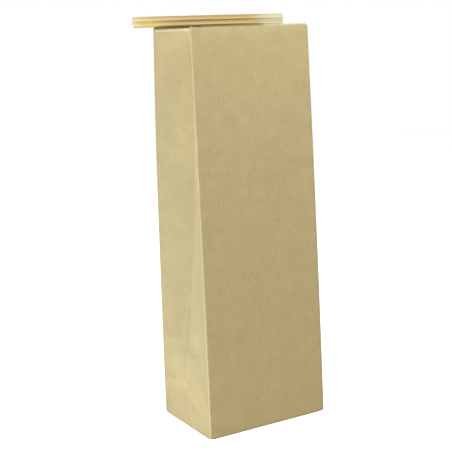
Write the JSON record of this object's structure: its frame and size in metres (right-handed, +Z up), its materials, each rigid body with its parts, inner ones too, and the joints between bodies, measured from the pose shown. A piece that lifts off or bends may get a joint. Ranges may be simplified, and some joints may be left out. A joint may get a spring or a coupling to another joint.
{
  "type": "paper bag",
  "caption": "Tall brown kraft paper bag, open at a zigzag-cut mouth, with inward-folded side gussets, a flat glued bottom and a ribbed bendable tie on its raised back lip.",
  "frame": {"origin": "on the surface the bag stands on, under the middle of its bottom", "axes": "+Z up from the bottom to the open mouth; +Y from the front panel to the back panel that carries the lip and tie; +X along the tie, across the front panel"},
  "size_m": [0.1386, 0.0766, 0.3255],
  "materials": {
    "kraft_paper": "uncoated brown kraft, fine fibre mottle",
    "tan_plastic": "golden tan film, satin",
    "soft_steel": "drawn wire",
    "clear_adhesive": "translucent glue film"
  },
  "bodies": {
    "root": {"paper_bag": "kraft_paper", "tie_ribbon": "tan_plastic", "upper_wire": "soft_steel", "lower_wire": "soft_steel", "tie_adhesive": "clear_adhesive"}
  },
  "joints": []
}
